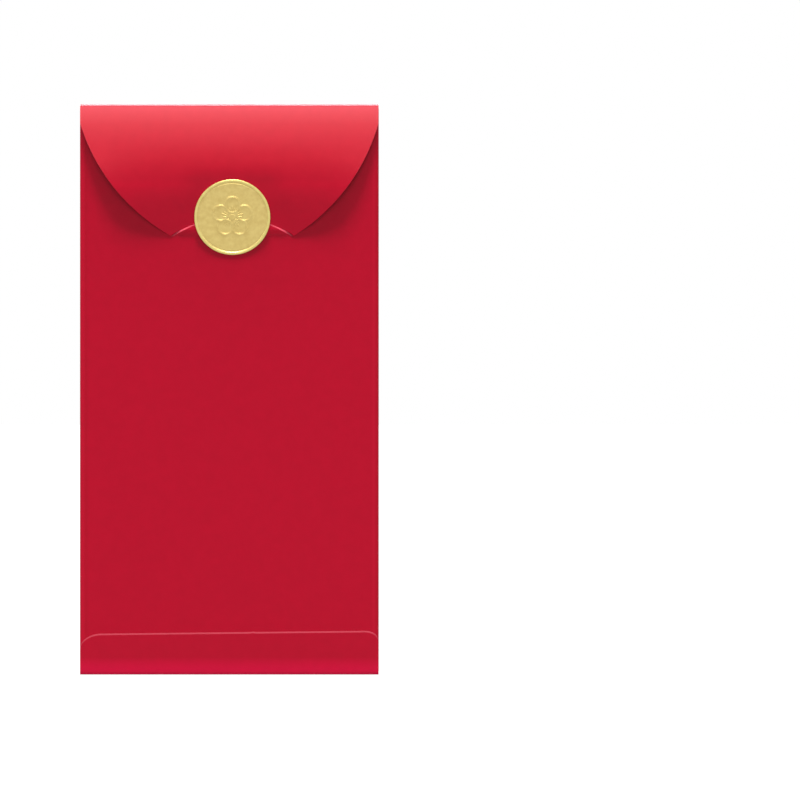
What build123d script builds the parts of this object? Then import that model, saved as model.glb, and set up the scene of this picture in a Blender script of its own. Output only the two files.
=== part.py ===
from build123d import *
import os
from math import cos, radians, sin, tan

os.makedirs("parts", exist_ok=True)

# A long red gift envelope, millimetres: X across, Z up the envelope, the flap side faces -Y

# Closed envelope
WIDTH = 88.0
HEIGHT = 168.0

# Paper, adhesive and the fits between loose sheets
PAPER = 0.3
GLUE = 0.1
CLEARANCE = 0.1

# Pillowed front panel: bulge, and how far each slope runs in from its fold
BULGE = 6.0
SIDE_RUN = 20.0
TOP_RUN = 62.0
BOTTOM_RUN = 45.0
CORNER_SHARPNESS = 2.0
PILLOW_COLUMNS = 33
PILLOW_ROWS = 49

# Mouth and seams
MOUTH_DROP = 1.5
FOLD_LEG = 0.5
SEAM_INSET = 0.4
EDGE_GAP = 0.2

# Inside glue flap along the right-hand seam
GLUE_FLAP_WIDTH = 12.0
GLUE_FLAP_TAPER = 6.0
GLUE_FLAP_INSET = 2.0
GLUE_MARGIN = 1.5

# Bottom flap, folded up over the back and glued: it was cut a little out of square
BOTTOM_FLAP_LEFT = 11.8
BOTTOM_FLAP_RIGHT = 12.7
BOTTOM_CORNER_LEFT = 4.0
BOTTOM_CORNER_RIGHT = 2.5
BOTTOM_GLUE_HEIGHT = 6.0
BOTTOM_GLUE_SIDE = 6.0

# Top flap: profile leaves the fold at FLAP_LEAN and comes back to the panel at FLAP_RETURN
FLAP_INSET = 0.2
FLAP_GAP = 0.15
FLAP_LEAN = 15.0
FLAP_RETURN = 7.0
FLAP_SIDE_DROP = 5.6
FLAP_SIDE_RADIUS = 57.0
FLAP_SHIFT = 0.9
TIP_DROP = 38.9
TIP_HALF_SPAN = 18.0
TIP_GAP = 0.1

# Lock tab: an arched cut in the back panel that holds the flap's tongue down
TAB_RISE = 5.6
TAB_STEP = 2.0
TAB_GAP = 0.08
TAB_BEND = 1.0
SLIT = 0.15

# Embossed round seal
SEAL_RADIUS = 11.2
SEAL_DROP = 33.2
SEAL_THICKNESS = 0.5
SEAL_GAP = 0.1
RIM_WIDTH = 1.1
RIM_RISE = 0.35
RELIEF = 0.2
LINE_WIDTH = 0.5
PETALS = 5
PETAL_RADIUS = 2.5
PETAL_RING_RADIUS = 3.6
HEART_RADIUS = 1.0
PAD_INSET = 0.8

# Depths measured out from the back panel's outer face
rim_depth = 3 * PAPER + GLUE + CLEARANCE

# Fold radii: each crease wraps the sheets that lie between its two leaves
top_radius = (rim_depth + FLAP_GAP + PAPER) / 2
bottom_radius = (rim_depth + GLUE + PAPER) / 2
left_radius = rim_depth / 2
right_radius = (rim_depth - PAPER - GLUE) / 2
top_axis_z = HEIGHT - top_radius
bottom_axis_z = bottom_radius

# Heights of the flap's tips, the arch over the lock tab and the tongue under it
chord_z = HEIGHT - TIP_DROP
arch_radius = (TIP_HALF_SPAN**2 + TAB_RISE**2) / (2 * TAB_RISE)
arch_centre_z = chord_z + TAB_RISE - arch_radius
tongue_z = chord_z + TAB_STEP

# Seal plane: parallel to the flap's straight lower part, clear of the tab that it covers
seal_z = HEIGHT - SEAL_DROP
seal_standoff = TAB_GAP + PAPER + SEAL_GAP
lean = radians(FLAP_LEAN)
back_slope = radians(FLAP_RETURN)
tip_depth = TIP_GAP + PAPER / cos(back_slope)


def flap_depth(z):
    """Depth of the flap's outer face, in front of the back panel, on its straight lower part."""
    return tip_depth + (z - chord_z) * tan(back_slope)


# The rim bead is the part of the seal that stands furthest out
bead_radius = (RIM_WIDTH**2 / 4 + RIM_RISE**2) / (2 * RIM_RISE)
bead_height = seal_standoff + SEAL_THICKNESS + RIM_RISE - bead_radius
back_depth = flap_depth(seal_z) + bead_height * cos(back_slope)
back_depth += (SEAL_RADIUS - RIM_WIDTH / 2) * sin(back_slope) + bead_radius

# The origin is under the middle of the envelope's whole depth
back_y = (back_depth - rim_depth - BULGE) / 2
top_axis_y = back_y + rim_depth - top_radius
bottom_axis_y = back_y + rim_depth - bottom_radius

# Panel edges
left_edge = left_radius - WIDTH / 2
right_edge = WIDTH / 2 - right_radius
front_top = top_axis_z - FOLD_LEG
back_top = HEIGHT - MOUTH_DROP
back_bottom = bottom_axis_z + EDGE_GAP


def rise(distance, run):
    """Share of the full bulge reached at a distance from a fold, easing out to level."""
    return 1 - (1 - min(distance / run, 1)) ** 2


def pillow(x, z):
    """Height of the pillowed front over its rim: the slopes meet softly on the corner diagonals."""
    side = rise(min(x - left_edge, right_edge - x), SIDE_RUN)
    end = min(rise(z - bottom_axis_z, BOTTOM_RUN), rise(front_top - z, TOP_RUN))
    if min(side, end) <= 0:
        return 0.0
    power = CORNER_SHARPNESS
    return BULGE * side * end * (2 / (side**power + end**power)) ** (1 / power)


def spread(low, high, count):
    """Stations from low to high, closer together near both ends."""
    middle, half = (low + high) / 2, (high - low) / 2
    return [middle - half * cos(radians(180 * n / (count - 1))) for n in range(count)]


def crease(plane, centre, radius, start, sweep, length):
    """A rounded crease: part of a paper tube, drawn on a plane and drawn out along its normal."""
    with BuildPart() as fold:
        with BuildSketch(plane):
            with BuildLine():
                outer = CenterArc(centre, radius, start, sweep)
                inner = CenterArc(centre, radius - PAPER, start, sweep)
                Line(outer @ 0, inner @ 0)
                Line(outer @ 1, inner @ 1)
            make_face()
        extrude(amount=length)
    return fold.part


def finish(part, name):
    part.label = name
    export_step(part, f"parts/{name}.step")


# Front panel: one sheet pressed out into a soft pillow
front_face = Face.make_surface_from_array_of_points(
    [
        [(x, back_y + rim_depth + pillow(x, z), z) for x in spread(left_edge, right_edge, PILLOW_COLUMNS)]
        for z in spread(bottom_axis_z, front_top, PILLOW_ROWS)
    ]
)
with BuildPart() as front_panel:
    extrude(front_face, amount=PAPER, dir=(0, -1, 0))
finish(front_panel.part, "front_panel")

# Back panel: flat, with the arched window that the lock tab is cut from
back_width = WIDTH / 2 - SEAM_INSET - left_edge
with BuildPart() as back_panel:
    with BuildSketch(Plane.XZ.offset(-back_y)):
        with Locations((left_edge, back_bottom)):
            Rectangle(back_width, back_top - back_bottom, align=(Align.MIN, Align.MIN))
        with BuildLine():
            arch = ThreePointArc(
                (FLAP_SHIFT - TIP_HALF_SPAN - SLIT, chord_z),
                (FLAP_SHIFT, chord_z + TAB_RISE + SLIT),
                (FLAP_SHIFT + TIP_HALF_SPAN + SLIT, chord_z),
            )
            Line(arch @ 0, arch @ 1)
        make_face(mode=Mode.SUBTRACT)
    extrude(amount=-PAPER)
finish(back_panel.part, "back_panel")

# Side creases: the left one joins front to back, the right one turns in the glue flap
fold_plane = Plane.XY.offset(back_bottom)
fold_length = front_top - back_bottom
left_centre = (left_edge, back_y + left_radius)
right_centre = (right_edge, back_y + rim_depth - right_radius)
finish(crease(fold_plane, left_centre, left_radius, 90, 180, fold_length), "left_side_fold")
finish(crease(fold_plane, right_centre, right_radius, -90, 180, fold_length), "right_side_fold")

# Glue flap inside the right-hand seam, with mitred ends, and the adhesive that holds the back panel to it
glue_flap_y = back_y + PAPER + GLUE
with BuildPart() as side_glue_flap:
    with BuildSketch(Plane.XZ.offset(-glue_flap_y)):
        with BuildLine():
            Polyline(
                (right_edge, back_bottom),
                (right_edge - GLUE_FLAP_WIDTH, back_bottom + GLUE_FLAP_INSET + GLUE_FLAP_TAPER),
                (right_edge - GLUE_FLAP_WIDTH, back_top - GLUE_FLAP_INSET - GLUE_FLAP_TAPER),
                (right_edge, back_top),
                close=True,
            )
        make_face()
    extrude(amount=-PAPER)
finish(side_glue_flap.part, "side_glue_flap")

with BuildPart() as side_glue:
    with BuildSketch(Plane.XZ.offset(-glue_flap_y)):
        add(side_glue_flap.faces().sort_by(Axis.Y)[0])
        offset(amount=-GLUE_MARGIN, kind=Kind.INTERSECTION, mode=Mode.REPLACE)
    extrude(amount=GLUE)
finish(side_glue.part, "side_glue")

# Bottom crease and the flap it turns up over the back panel, with its glue line
bottom_plane = Plane.YZ.offset(left_edge)
bottom_width = right_edge - left_edge
bottom_centre = (bottom_axis_y, bottom_axis_z)
finish(crease(bottom_plane, bottom_centre, bottom_radius, 180, 180, bottom_width), "bottom_fold")

bottom_flap_y = back_y - GLUE - PAPER
with BuildPart() as bottom_flap:
    with BuildSketch(Plane.XZ.offset(-bottom_flap_y)):
        with BuildLine():
            FilletPolyline(
                (left_edge, bottom_axis_z),
                (right_edge, bottom_axis_z),
                (right_edge, BOTTOM_FLAP_RIGHT),
                (left_edge, BOTTOM_FLAP_LEFT),
                radius=(0, 0, BOTTOM_CORNER_RIGHT, BOTTOM_CORNER_LEFT),
                close=True,
            )
        make_face()
    extrude(amount=-PAPER)
finish(bottom_flap.part, "bottom_flap")

with BuildPart() as bottom_glue:
    with BuildSketch(Plane.XZ.offset(-(back_y - GLUE))):
        with Locations(((left_edge + right_edge) / 2, back_bottom + GLUE_MARGIN)):
            Rectangle(
                bottom_width - 2 * BOTTOM_GLUE_SIDE,
                BOTTOM_GLUE_HEIGHT,
                align=(Align.CENTER, Align.MIN),
            )
    extrude(amount=-GLUE)
finish(bottom_glue.part, "bottom_glue")

# Top crease: the living hinge between the front panel and the flap
flap_half = WIDTH / 2 - FLAP_INSET
top_centre = (top_axis_y, top_axis_z)
with BuildPart() as top_fold:
    with BuildSketch(Plane.YZ):
        with BuildLine():
            outer = CenterArc(top_centre, top_radius, 0, 180 - FLAP_LEAN)
            inner = CenterArc(top_centre, top_radius - PAPER, 0, 180 - FLAP_LEAN)
            Line(outer @ 1, inner @ 1)
            Polyline(
                outer @ 0,
                (top_axis_y + top_radius, front_top),
                (top_axis_y + top_radius - PAPER, front_top),
                inner @ 0,
            )
        make_face()
    extrude(amount=flap_half, both=True)
finish(top_fold.part, "top_fold")

# Top flap: a crowned sheet, straight over its lower part, trimmed to two long round sides and a tongue
fold_end = Vector(top_axis_y - top_radius * cos(lean), top_axis_z + top_radius * sin(lean))
tip = Vector(back_y - tip_depth, chord_z)
crown_rise = tip.X - fold_end.X + (fold_end.Y - tip.Y) * tan(lean)
crown_z = tip.Y + crown_rise / (tan(lean) + tan(back_slope))
crown = Vector(back_y - flap_depth(crown_z), crown_z)
crown_end = crown + (tip - crown).normalized() * (fold_end - crown).length
crown_radius = (fold_end - crown).length / tan((lean + back_slope) / 2)
left_tip = (FLAP_SHIFT - TIP_HALF_SPAN, chord_z)
right_tip = (FLAP_SHIFT + TIP_HALF_SPAN, chord_z)
with BuildPart() as top_flap:
    with BuildSketch(Plane.YZ):
        with BuildLine():
            RadiusArc(fold_end, crown_end, -crown_radius)
            Line(crown_end, tip)
            offset(amount=PAPER, side=Side.LEFT)
        make_face()
    extrude(amount=flap_half, both=True)
    with BuildSketch(Plane.XZ):
        with BuildLine():
            top_edge = Polyline(
                (-flap_half, HEIGHT - FLAP_SIDE_DROP),
                (-flap_half, HEIGHT),
                (flap_half, HEIGHT),
                (flap_half, HEIGHT - FLAP_SIDE_DROP),
            )
            RadiusArc(top_edge @ 1, right_tip, FLAP_SIDE_RADIUS)
            RadiusArc(left_tip, top_edge @ 0, FLAP_SIDE_RADIUS)
            Line(left_tip, right_tip)
        make_face()
    extrude(amount=WIDTH, both=True, mode=Mode.INTERSECT)
    with BuildSketch(Plane.XZ):
        with Locations((FLAP_SHIFT, arch_centre_z)):
            Circle(arch_radius + SLIT)
        with Locations((FLAP_SHIFT, tongue_z + CLEARANCE)):
            Rectangle(WIDTH, arch_radius, align=(Align.CENTER, Align.MAX), mode=Mode.INTERSECT)
    extrude(amount=WIDTH, both=True, mode=Mode.SUBTRACT)
finish(top_flap.part, "top_flap")

# Lock tab: it steps out of the back panel, then lies over the flap's tongue
tab_reach = (TAB_GAP + PAPER) / cos(back_slope)
tab_top = chord_z + TAB_RISE + TAB_BEND
with BuildPart() as lock_tab:
    with BuildSketch(Plane.YZ):
        with BuildLine():
            FilletPolyline(
                (back_y, chord_z),
                (back_y - flap_depth(tongue_z) - tab_reach, tongue_z),
                (back_y - flap_depth(tab_top) - tab_reach, tab_top),
                radius=TAB_BEND,
            )
            offset(amount=PAPER, side=Side.RIGHT)
        make_face()
    extrude(amount=WIDTH / 2, both=True)
    with BuildSketch(Plane.XZ):
        with BuildLine():
            arch = ThreePointArc(left_tip, (FLAP_SHIFT, chord_z + TAB_RISE), right_tip)
            Line(arch @ 0, arch @ 1)
        make_face()
    extrude(amount=WIDTH, both=True, mode=Mode.INTERSECT)
finish(lock_tab.part, "lock_tab")

# Seal: a pressed disc with a beaded rim and a blossom in raised line, square to the flap's lower part
seal_normal = (0, -cos(back_slope), -sin(back_slope))
flap_plane = Plane(
    origin=(FLAP_SHIFT, back_y - flap_depth(seal_z), seal_z), x_dir=(1, 0, 0), z_dir=seal_normal
)
seal_plane = flap_plane.offset(seal_standoff)
seal_section = Plane(
    origin=seal_plane.origin, x_dir=(1, 0, 0), z_dir=(0, sin(back_slope), -cos(back_slope))
)
with BuildPart() as seal_disc:
    with BuildSketch(seal_section):
        with BuildLine():
            bead = ThreePointArc(
                (SEAL_RADIUS, SEAL_THICKNESS),
                (SEAL_RADIUS - RIM_WIDTH / 2, SEAL_THICKNESS + RIM_RISE),
                (SEAL_RADIUS - RIM_WIDTH, SEAL_THICKNESS),
            )
            Polyline(bead @ 1, (0, SEAL_THICKNESS), (0, 0), (SEAL_RADIUS, 0), bead @ 0)
        make_face()
    revolve(axis=Axis(seal_plane.origin, seal_plane.z_dir))
    with BuildSketch(seal_plane.offset(SEAL_THICKNESS)):
        with PolarLocations(PETAL_RING_RADIUS, PETALS, start_angle=90):
            Circle(PETAL_RADIUS)
        offset(amount=-LINE_WIDTH, mode=Mode.SUBTRACT)
        Circle(HEART_RADIUS)
    extrude(amount=RELIEF)
finish(seal_disc.part, "seal_disc")

# Adhesive pad behind the upper half of the seal, between it and the flap
pad_low = (chord_z + TAB_RISE - seal_z) / cos(back_slope) + CLEARANCE
with BuildPart() as seal_pad:
    with BuildSketch(flap_plane):
        Circle(SEAL_RADIUS - PAD_INSET)
        with Locations((0, pad_low)):
            Rectangle(
                2 * SEAL_RADIUS, 2 * SEAL_RADIUS, align=(Align.CENTER, Align.MIN), mode=Mode.INTERSECT
            )
    extrude(amount=seal_standoff)
finish(seal_pad.part, "seal_pad")
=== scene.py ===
import math

import bmesh
import bpy
import numpy as np
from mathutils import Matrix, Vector


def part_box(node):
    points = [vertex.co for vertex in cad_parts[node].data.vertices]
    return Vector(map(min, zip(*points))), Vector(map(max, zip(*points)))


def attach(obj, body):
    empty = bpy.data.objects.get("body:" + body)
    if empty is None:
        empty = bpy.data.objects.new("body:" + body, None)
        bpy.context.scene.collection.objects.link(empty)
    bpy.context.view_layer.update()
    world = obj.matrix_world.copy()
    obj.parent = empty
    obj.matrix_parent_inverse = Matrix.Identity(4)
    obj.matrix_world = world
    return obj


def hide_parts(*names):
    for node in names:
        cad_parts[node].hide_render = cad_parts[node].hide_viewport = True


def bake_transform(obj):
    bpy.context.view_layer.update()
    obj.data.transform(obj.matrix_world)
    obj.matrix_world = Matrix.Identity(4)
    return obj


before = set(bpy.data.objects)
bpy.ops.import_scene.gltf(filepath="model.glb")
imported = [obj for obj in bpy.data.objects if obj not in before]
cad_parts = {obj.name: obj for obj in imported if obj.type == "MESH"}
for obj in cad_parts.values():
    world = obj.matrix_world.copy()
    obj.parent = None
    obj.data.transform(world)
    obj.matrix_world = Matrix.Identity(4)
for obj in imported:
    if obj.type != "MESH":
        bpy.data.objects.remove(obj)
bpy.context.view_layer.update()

# A millimetre, and the distance at which two points are one, in metres
MM = 0.001
SAME_POINT = 1e-8

# Sizes in millimetres and angles, the same as in the part's source
WIDTH = 88.0
HEIGHT = 168.0
PAPER = 0.3
GLUE = 0.1
RIM_DEPTH = 1.1
TOP_RADIUS = 0.775
BULGE = 6.0
SIDE_RUN = 20.0
TOP_RUN = 62.0
BOTTOM_RUN = 45.0
CORNER_SHARPNESS = 2.0
FLAP_SHIFT = 0.9
FLAP_SIDE_Z = 162.4
FLAP_SIDE_RADIUS = 57.0
FLAP_LEAN = math.radians(15.0)
FLAP_RETURN = math.radians(7.0)
TIP_HALF_SPAN = 18.0
TIP_GAP = 0.1
CHORD_Z = 129.1
TAB_RISE = 5.6
TONGUE_Z = 131.1
SLIT = 0.15
SEAL_RADIUS = 11.2
SEAL_DROP = 33.2

# Half the width of the folded edges, and how far the lock tab's face stands off the flap's
EDGE_HALF = 43.95
TAB_REACH = 0.383

# Places that follow from them and from the CAD pieces
BACK_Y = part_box("back_panel")[0].y / MM
BACK_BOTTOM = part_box("back_panel")[0].z / MM
BACK_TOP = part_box("back_panel")[1].z / MM
LEFT_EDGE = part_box("front_panel")[0].x / MM
RIGHT_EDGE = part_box("front_panel")[1].x / MM
BACK_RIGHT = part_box("back_panel")[1].x / MM
FRONT_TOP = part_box("front_panel")[1].z / MM
FRONT_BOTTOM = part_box("front_panel")[0].z / MM
BOTTOM_FLAP_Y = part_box("bottom_flap")[0].y / MM
FRONT_Y = BACK_Y + RIM_DEPTH
TOP_AXIS_Y = FRONT_Y - TOP_RADIUS
TOP_AXIS_Z = HEIGHT - TOP_RADIUS
ARCH_RADIUS = (TIP_HALF_SPAN**2 + TAB_RISE**2) / (2 * TAB_RISE)
ARCH_CENTRE_Z = CHORD_Z + TAB_RISE - ARCH_RADIUS
TIP_DEPTH = TIP_GAP + PAPER / math.cos(FLAP_RETURN)


# Shape of the paper

LEAST_SHARE = 1e-9


def rise(distance, run):
    """Share of the full bulge reached at a distance from a fold, easing out to level."""
    return 1 - (1 - np.clip(distance / run, 0, 1)) ** 2


def pillow(x, z):
    """Height of the pillowed front over its rim."""
    side = rise(np.minimum(x - LEFT_EDGE, RIGHT_EDGE - x), SIDE_RUN)
    end = np.minimum(rise(z - FRONT_BOTTOM, BOTTOM_RUN), rise(FRONT_TOP - z, TOP_RUN))
    low = np.minimum(side, end)
    power = CORNER_SHARPNESS
    side_part = np.maximum(side, LEAST_SHARE) ** power
    end_part = np.maximum(end, LEAST_SHARE) ** power
    mean = ((side_part + end_part) / 2) ** (1 / power)
    return np.where(low <= 0, 0, BULGE * side * end / mean)


# The flap's profile as y, z points: a round crown from the fold, then a straight leg to the tip
FOLD_END = np.array(
    [TOP_AXIS_Y - TOP_RADIUS * math.cos(FLAP_LEAN), TOP_AXIS_Z + TOP_RADIUS * math.sin(FLAP_LEAN)]
)
_tip = np.array([BACK_Y - TIP_DEPTH, CHORD_Z])
_crown_rise = _tip[0] - FOLD_END[0] + (FOLD_END[1] - _tip[1]) * math.tan(FLAP_LEAN)
_crown_z = _tip[1] + _crown_rise / (math.tan(FLAP_LEAN) + math.tan(FLAP_RETURN))
_crown = np.array([_tip[0] - (_crown_z - CHORD_Z) * math.tan(FLAP_RETURN), _crown_z])
_leg = np.linalg.norm(FOLD_END - _crown)
CROWN_RADIUS = _leg / math.tan((FLAP_LEAN + FLAP_RETURN) / 2)
CROWN_END_Z = (_crown + (_tip - _crown) / np.linalg.norm(_tip - _crown) * _leg)[1]
CROWN_CENTRE = FOLD_END + CROWN_RADIUS * np.array([math.cos(FLAP_LEAN), -math.sin(FLAP_LEAN)])


def flap_profile(z):
    """Depth of the flap's outer face in front of the back panel, down its middle."""
    straight = TIP_DEPTH + (z - CHORD_Z) * math.tan(FLAP_RETURN)
    reach = np.sqrt(np.maximum(CROWN_RADIUS**2 - (z - CROWN_CENTRE[1]) ** 2, 0))
    arc = BACK_Y - (CROWN_CENTRE[0] - reach)
    return np.where(z < CROWN_END_Z, straight, arc)


# The paper springs: low down, the crown stands out more than a plain arc, less where the seal holds it
CROWN_SPRING = 0.95
CROWN_TOP = 161.0
CROWN_LOW = 144.0
CROWN_END_SLOPE = 1.3
SEAL_HOLD = 0.6
HELD_HALF = 9.0
FREE_HALF = 17.0
HELD_Z = CROWN_LOW - 1.5
FREE_Z = CROWN_LOW + 6
FLANK_LIFT = 0.4
FLANK_SKEW = 0.7
FLANK_LIMIT = 1.05


def bump(value, low, high):
    """1 at low, easing to 0 at high."""
    t = np.clip((value - low) / (high - low), 0, 1)
    return 1 - t * t * (3 - 2 * t)


def arch_z(x, radius):
    """Height of the arched cut, which ends at its chord."""
    reach = np.sqrt(np.maximum(radius**2 - (x - FLAP_SHIFT) ** 2, 0))
    return np.maximum(ARCH_CENTRE_Z + reach, CHORD_Z)


def crown_spring(x, z):
    """Share of the spring: it grows down to the crown's low line and dies out at the flap's edge."""
    run = CROWN_TOP - CROWN_LOW
    above = np.clip((CROWN_TOP - z) / run, 0, 1) ** 2
    reach = CROWN_LOW - arch_z(x, ARCH_RADIUS + SLIT)
    u = np.clip((CROWN_LOW - z) / reach, 0, 1)
    start_slope = 2 * reach / run * (u**3 - 2 * u**2 + u)
    below = 2 * u**3 - 3 * u**2 + 1 + start_slope - CROWN_END_SLOPE * (u**3 - u**2)
    return np.where(z > CROWN_LOW, above, below)


def flap_depth(x, z):
    """The flap's outer face: crowned down the middle, with flanks that spring away from the panel."""
    across = np.abs(x - FLAP_SHIFT)
    half = np.interp(z, OUTLINE_Z, OUTLINE_HALF)
    share = np.clip(across / half, 0, FLANK_LIMIT)
    held = 1 - (1 - SEAL_HOLD) * bump(across, HELD_HALF, FREE_HALF) * bump(z, HELD_Z, FREE_Z)
    height = np.clip((z - CHORD_Z) / (CROWN_TOP - CHORD_Z), 0, 1)
    flank = FLANK_LIFT * share**3 * np.sin(np.pi * height**FLANK_SKEW) ** 2
    return flap_profile(z) + CROWN_SPRING * held * crown_spring(x, z) + flank


# The panel swells a little where the tongue pushes the lock tab out, and rolls into its side folds
SWELL = 0.45
SWELL_FOOT = 95.0
SWELL_HALF = 17.5
SWELL_FADE = 3
LEFT_ROLL = 0.2
RIGHT_ROLL = 0.09
ROLL_WIDTH = 1.6


def panel_depth(x, z):
    """The back panel's outer face in front of its flat plane."""
    across = (x - FLAP_SHIFT) / SWELL_HALF
    growth = np.clip((z - SWELL_FOOT) / (CHORD_Z - SWELL_FOOT), 0, 1) ** 2
    swell = SWELL * np.exp(-(across**4)) * growth * bump(z, CHORD_Z, CHORD_Z + SWELL_FADE)
    left = LEFT_ROLL * np.clip(1 - (x - LEFT_EDGE) / ROLL_WIDTH, 0, 1) ** 2
    right = RIGHT_ROLL * np.clip(1 - (BACK_RIGHT - x) / ROLL_WIDTH, 0, 1) ** 2
    return swell - left - right


def tab_depth(x, z):
    """The lock tab's outer face: it leaves the panel at the chord and lies over the flap's tongue."""
    foot = panel_depth(x, np.full_like(z, CHORD_Z))
    over = TIP_DEPTH + (z - CHORD_Z) * math.tan(FLAP_RETURN) + TAB_REACH
    t = np.clip((z - CHORD_Z) / (TONGUE_Z - CHORD_Z), 0, 1)
    blend = t * t * (3 - 2 * t)
    slope = SWELL * 2 / (CHORD_Z - SWELL_FOOT)
    return (foot + (z - CHORD_Z) * slope) * (1 - blend) + over * blend


# Meshes

SLOPE_STEP = 0.02


def grid_quads(index):
    """Four-sided faces between the neighbours in a grid of point numbers."""
    corners = [index[:-1, :-1], index[:-1, 1:], index[1:, 1:], index[1:, :-1]]
    return np.stack(corners, -1).reshape(-1, 4)


def rim_quads(loop, count):
    """Faces across a cut edge, from a loop of outer points to the inner ones, numbered count higher."""
    after = np.roll(loop, -1)
    return np.stack([after, loop, loop + count, after + count], -1)


def shell(name, outer, inner, materials):
    """A closed thin sheet from grids of its outer and inner points: rows, columns, xyz in millimetres."""
    rows, cols = outer.shape[:2]
    count = rows * cols
    index = np.arange(count).reshape(rows, cols)
    skin = grid_quads(index)
    loop = np.concatenate([index[0, :-1], index[:-1, -1], index[-1, :0:-1], index[:0:-1, 0]])
    rim = rim_quads(loop, count)
    faces = np.concatenate([skin, skin[:, ::-1] + count, rim])
    kinds = np.repeat([0, 1, 2], [len(skin), len(skin), len(rim)])
    points = np.concatenate([outer.reshape(-1, 3), inner.reshape(-1, 3)]) * MM
    return mesh_piece(name, points, faces, kinds, materials)


def mesh_piece(name, points, faces, kinds, materials):
    """A smooth-shaded object whose creases lie between faces of different material."""
    mesh = bpy.data.meshes.new(name)
    mesh.from_pydata(points.tolist(), [], faces.tolist())
    for material in materials:
        mesh.materials.append(material)
    mesh.polygons.foreach_set("material_index", kinds.astype(np.int32))
    mesh.polygons.foreach_set("use_smooth", np.ones(len(faces), bool))
    edit = bmesh.new()
    edit.from_mesh(mesh)
    bmesh.ops.remove_doubles(edit, verts=edit.verts, dist=SAME_POINT)
    for edge in edit.edges:
        if len({face.material_index for face in edge.link_faces}) > 1:
            edge.smooth = False
    edit.to_mesh(mesh)
    edit.free()
    mesh.update()
    piece = bpy.data.objects.new(name, mesh)
    bpy.context.scene.collection.objects.link(piece)
    return piece


def back_sheet(x, z, depth):
    """Points of a sheet that faces the flap side, and its inner points one paper thickness behind."""
    step = SLOPE_STEP
    slope_x = (depth(x + step, z) - depth(x - step, z)) / (2 * step)
    slope_z = (depth(x, z + step) - depth(x, z - step)) / (2 * step)
    normal = np.stack([-slope_x, -np.ones_like(x), -slope_z], -1)
    normal /= np.linalg.norm(normal, axis=-1, keepdims=True)
    outer = np.stack([x, BACK_Y - depth(x, z), z], -1)
    return outer, outer - normal * PAPER


def fan(low, high, rows):
    """Rows of heights between two boundary lines, one column for each pair."""
    t = np.linspace(0, 1, rows)[:, None]
    return low[None, :] * (1 - t) + high[None, :] * t


# Materials

WHITE = (1.0, 1.0, 1.0)

# Numbers of the colour sockets on a Mix node
MIX_FIRST = 6
MIX_SECOND = 7
MIX_RESULT = 2


def principled(name, **sockets):
    """A new material, its node tree and its shader, with the named sockets set."""
    material = bpy.data.materials.new(name)
    material.use_nodes = True
    shader = material.node_tree.nodes["Principled BSDF"]
    for socket, value in sockets.items():
        shader.inputs[socket.replace("_", " ")].default_value = value
    return material, material.node_tree, shader


def link(tree, out, into):
    """Joins two sockets."""
    tree.links.new(out, into)


def noise(tree, scale, detail, stretch=(1, 1, 1)):
    """Noise in object space, in cycles for each millimetre."""
    place = tree.nodes.new("ShaderNodeTexCoord")
    mapping = tree.nodes.new("ShaderNodeMapping")
    mapping.inputs["Scale"].default_value = [s / MM for s in stretch]
    texture = tree.nodes.new("ShaderNodeTexNoise")
    texture.inputs["Scale"].default_value = scale
    texture.inputs["Detail"].default_value = detail
    link(tree, place.outputs["Object"], mapping.inputs["Vector"])
    link(tree, mapping.outputs["Vector"], texture.inputs["Vector"])
    return texture.outputs["Fac"]


def bump_from(tree, shader, height, strength, distance):
    """Grain on a surface: a height in millimetres that only bends the light."""
    node = tree.nodes.new("ShaderNodeBump")
    node.inputs["Strength"].default_value = strength
    node.inputs["Distance"].default_value = distance * MM
    link(tree, height, node.inputs["Height"])
    link(tree, node.outputs["Normal"], shader.inputs["Normal"])


def ramp(tree, value, low, high, start=0.3, stop=0.7):
    """Colour between two tones, by a value."""
    node = tree.nodes.new("ShaderNodeValToRGB")
    node.color_ramp.elements[0].position = start
    node.color_ramp.elements[0].color = (*low, 1)
    node.color_ramp.elements[1].position = stop
    node.color_ramp.elements[1].color = (*high, 1)
    link(tree, value, node.inputs["Fac"])
    return node.outputs["Color"]


def tones_along(tree, axis, stops, source="Object", unit=MM):
    """Colour that changes along an axis, by stops of place and colour.

    The place is in millimetres on the object, or how far the surface faces along the axis, -1 to 1.
    """
    place = tree.nodes.new("ShaderNodeTexCoord")
    split = tree.nodes.new("ShaderNodeSeparateXYZ")
    link(tree, place.outputs[source], split.inputs[0])
    spread = tree.nodes.new("ShaderNodeMapRange")
    low = stops[0][0]
    high = stops[-1][0]
    spread.inputs["From Min"].default_value = low * unit
    spread.inputs["From Max"].default_value = high * unit
    link(tree, split.outputs[axis], spread.inputs["Value"])
    node = tree.nodes.new("ShaderNodeValToRGB")
    marks = node.color_ramp.elements
    while len(marks) < len(stops):
        marks.new(0.5)
    for mark, (value, colour) in zip(marks, stops):
        mark.position = (value - low) / (high - low)
        mark.color = (*colour, 1)
    link(tree, spread.outputs["Result"], node.inputs["Fac"])
    return node.outputs["Color"]


def times(tree, first, second):
    """Product of two colours."""
    node = tree.nodes.new("ShaderNodeMix")
    node.data_type = "RGBA"
    node.blend_type = "MULTIPLY"
    node.inputs["Factor"].default_value = 1.0
    link(tree, first, node.inputs[MIX_FIRST])
    link(tree, second, node.inputs[MIX_SECOND])
    return node.outputs[MIX_RESULT]


# Reds of the back panel and its side folds. Near each side fold the panel has a lighter strip, a painted
# highlight where it rolls into the fold, and a darker line, painted shade in the crease
RED = (0.54, 0.001, 0.023)
RED_CREASE_SHADE = (0.5, 0.001, 0.02)
RED_FOLD_HIGHLIGHT = (0.58, 0.003, 0.027)

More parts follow.
